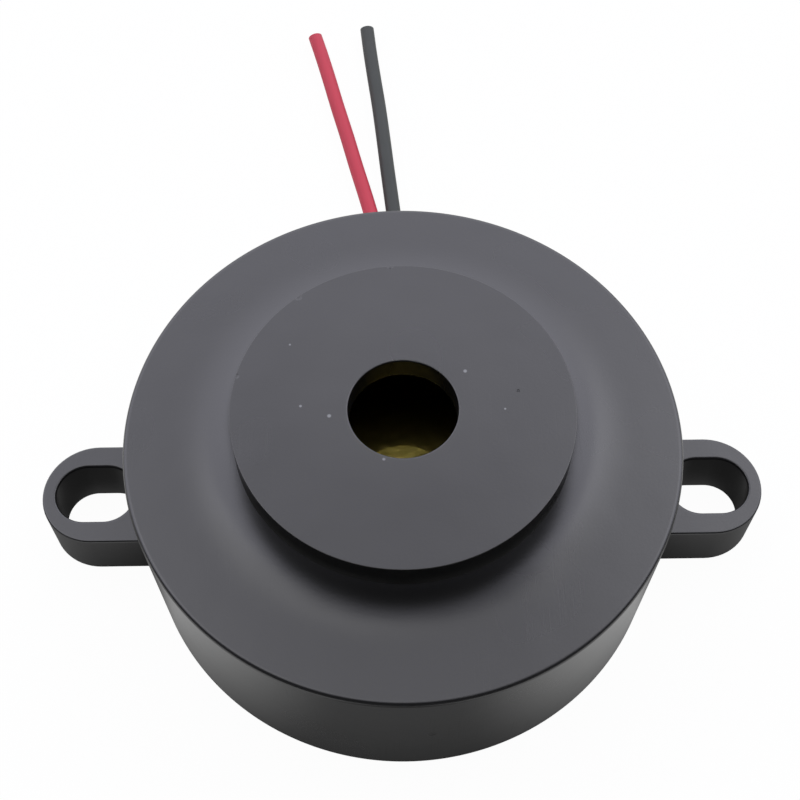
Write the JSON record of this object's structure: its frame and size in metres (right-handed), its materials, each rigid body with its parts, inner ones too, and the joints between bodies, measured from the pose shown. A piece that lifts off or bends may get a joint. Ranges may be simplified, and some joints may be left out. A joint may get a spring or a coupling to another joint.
{
  "type": "piezo buzzer",
  "caption": "Round panel-mount piezo buzzer: black moulded drum with a raised flared disc, central sound port, slotted ears at the base and red and black leads.",
  "frame": {"origin": "on the body axis, in the plane of the base that sits on the panel", "axes": "+X through the two ears, +Z along the body axis towards the sound port, leads towards +Y"},
  "size_m": [0.0586, 0.0765, 0.0185],
  "materials": {
    "housing_plastic": "satin moulded",
    "cover_plastic": "satin moulded",
    "silicone": "cured bead",
    "brass": "rolled sheet",
    "piezo_ceramic": "silvered",
    "board_laminate": "solder mask",
    "package_plastic": "moulded epoxy",
    "capacitor_ceramic": "sintered",
    "resistor_glaze": "glazed",
    "jumper_red": "extruded",
    "jumper_blue": "extruded",
    "jumper_black": "extruded",
    "solder": "reflowed",
    "tinned_copper": "tinned",
    "red_insulation": "extruded",
    "black_insulation": "extruded"
  },
  "bodies": {
    "root": {"housing": "housing_plastic", "back_cover": "cover_plastic", "seat_bead": "silicone", "brass_disc": "brass", "piezo_ceramic": "piezo_ceramic", "circuit_board": "board_laminate", "drive_transistor": "package_plastic", "input_diode": "package_plastic", "supply_capacitor": "capacitor_ceramic", "base_resistor": "resistor_glaze", "feedback_resistor": "resistor_glaze", "load_resistor": "resistor_glaze", "main_jumper": "jumper_red", "feedback_jumper": "jumper_blue", "ground_jumper": "jumper_black", "sounder_solder": "solder", "board_solder": "solder", "lead_solder": "solder", "red_strands": "tinned_copper", "black_strands": "tinned_copper", "red_lead": "red_insulation", "black_lead": "black_insulation"}
  },
  "joints": []
}
